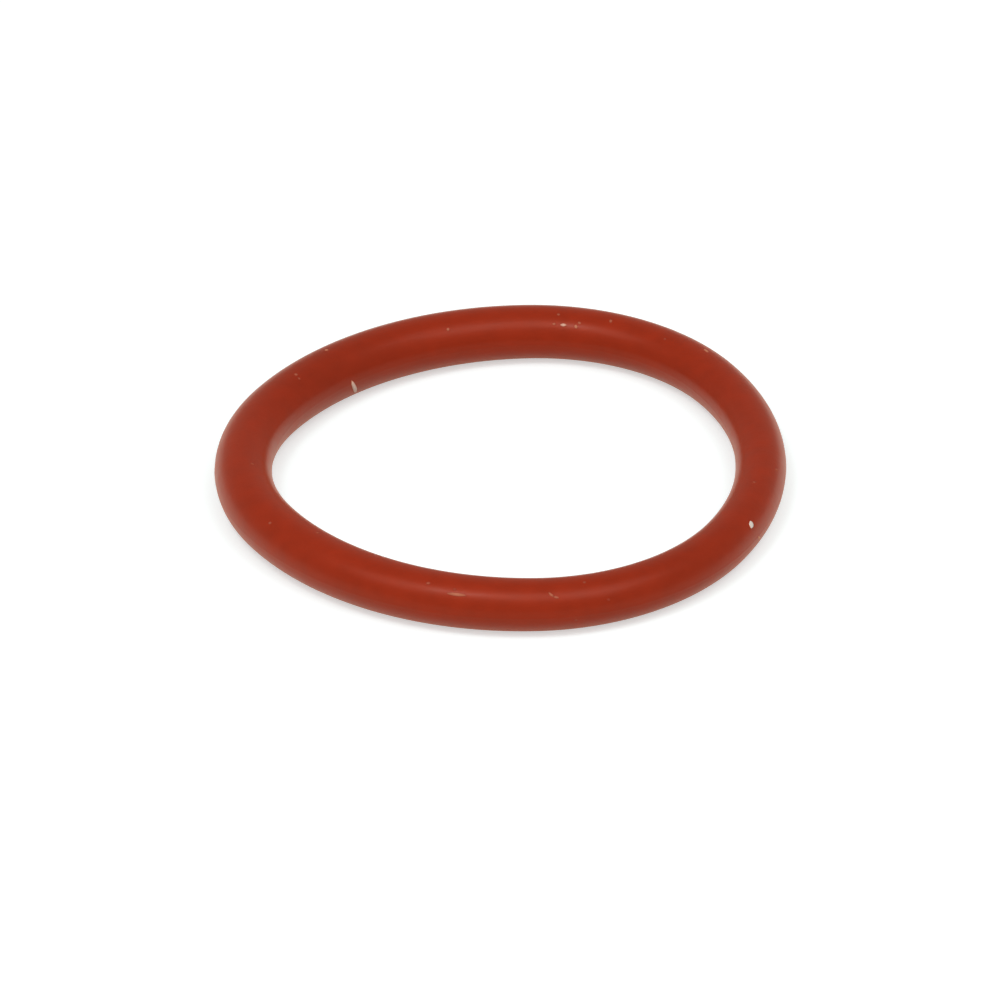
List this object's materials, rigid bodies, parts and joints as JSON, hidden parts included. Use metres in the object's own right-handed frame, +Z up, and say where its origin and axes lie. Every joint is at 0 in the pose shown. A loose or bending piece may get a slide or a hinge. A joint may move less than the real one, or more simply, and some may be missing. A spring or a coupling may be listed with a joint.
{
  "type": "o-ring",
  "caption": "Silicone rubber o-ring of round section, lying free and a little out of round, with a fine moulding line round it.",
  "frame": {"origin": "under the middle of the ring's outline, in the plane that the ring lies on", "axes": "+Z up from the surface that the ring lies on, along the ring's axis; +X points to the middle of one of the ring's three flatter sides"},
  "size_m": [0.037, 0.037, 0.0035],
  "materials": {
    "silicone": "brick-red silicone rubber, satin as moulded, with a little lint and dust"
  },
  "bodies": {
    "root": {"o_ring": "silicone"}
  },
  "joints": []
}
